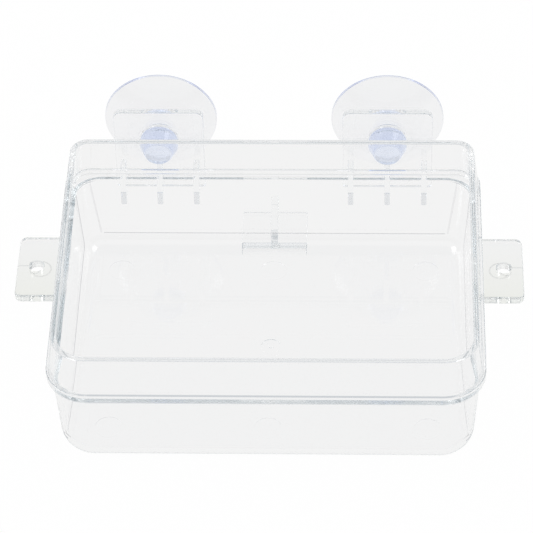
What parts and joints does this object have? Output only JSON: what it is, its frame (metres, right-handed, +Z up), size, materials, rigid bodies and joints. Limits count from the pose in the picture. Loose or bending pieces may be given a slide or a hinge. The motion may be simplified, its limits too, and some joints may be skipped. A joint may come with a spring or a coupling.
{
  "type": "reptile feeder bowl",
  "caption": "Clear plastic feeding bowl for a reptile tank: a drafted tray with a loose inward-leaning rim frame, side ears, and upright tabs with suction cups that hold it on the glass.",
  "frame": {"origin": "middle of the tray's flat underside, on the table", "axes": "+Z up, +X to the right seen from the front, +Y from the front wall to the back wall and the tank's glass"},
  "size_m": [0.1784, 0.1351, 0.063],
  "materials": {
    "clear_polystyrene": "clear, polished mould",
    "soft_pvc": "soft, clear, faintly blue"
  },
  "bodies": {
    "tray": {"bowl": "clear_polystyrene"},
    "frame": {"rim_frame": "clear_polystyrene"},
    "left_cup": {"suction_cup_left": "soft_pvc"},
    "right_cup": {"suction_cup_right": "soft_pvc"}
  },
  "joints": [
    {"name": "frame_lift", "type": "slide", "parent": "tray", "child": "frame", "axis": [0, 0, 1], "range_m": [0, 0.03]},
    {"name": "left_cup_spin", "type": "hinge", "parent": "tray", "child": "left_cup", "pos_m": [-0.0415, 0.0644, 0.0425], "axis": [0, 1, 0], "continuous": true},
    {"name": "right_cup_spin", "type": "hinge", "parent": "tray", "child": "right_cup", "pos_m": [0.0415, 0.0644, 0.0425], "axis": [0, 1, 0], "continuous": true}
  ]
}
